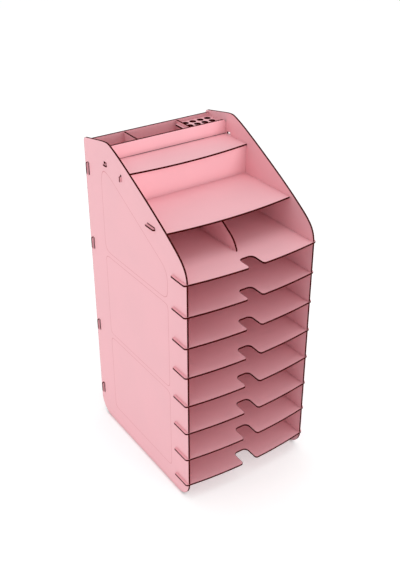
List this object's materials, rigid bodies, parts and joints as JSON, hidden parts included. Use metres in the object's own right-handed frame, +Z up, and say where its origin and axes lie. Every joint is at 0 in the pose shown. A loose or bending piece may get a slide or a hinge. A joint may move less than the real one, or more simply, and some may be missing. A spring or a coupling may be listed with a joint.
{
  "type": "tiered document rack",
  "caption": "Tall flat-pack desk rack: stacked open paper trays under a sloping top with a stepped shelf and a divided pen box.",
  "frame": {"origin": "on the table under the middle of the rack's outer box", "axes": "+Z up, -Y towards the open front of the trays, +X to the right as seen from the front"},
  "size_m": [0.264, 0.3286, 0.599],
  "materials": {
    "painted_board": "satin paint on the faces, charred brown cut edges"
  },
  "bodies": {
    "root": {"side_panel_left": "painted_board", "side_panel_right": "painted_board", "back_panel": "painted_board", "tray_shelf_1": "painted_board", "tray_shelf_2": "painted_board", "tray_shelf_3": "painted_board", "tray_shelf_4": "painted_board", "tray_shelf_5": "painted_board", "tray_shelf_6": "painted_board", "tray_shelf_7": "painted_board", "tray_shelf_8": "painted_board", "top_bay_divider": "painted_board", "desk_shelf": "painted_board", "lower_riser": "painted_board", "upper_step": "painted_board", "pen_box_front": "painted_board", "pen_divider_left": "painted_board", "pen_divider_right": "painted_board", "brush_plate": "painted_board"}
  },
  "joints": []
}
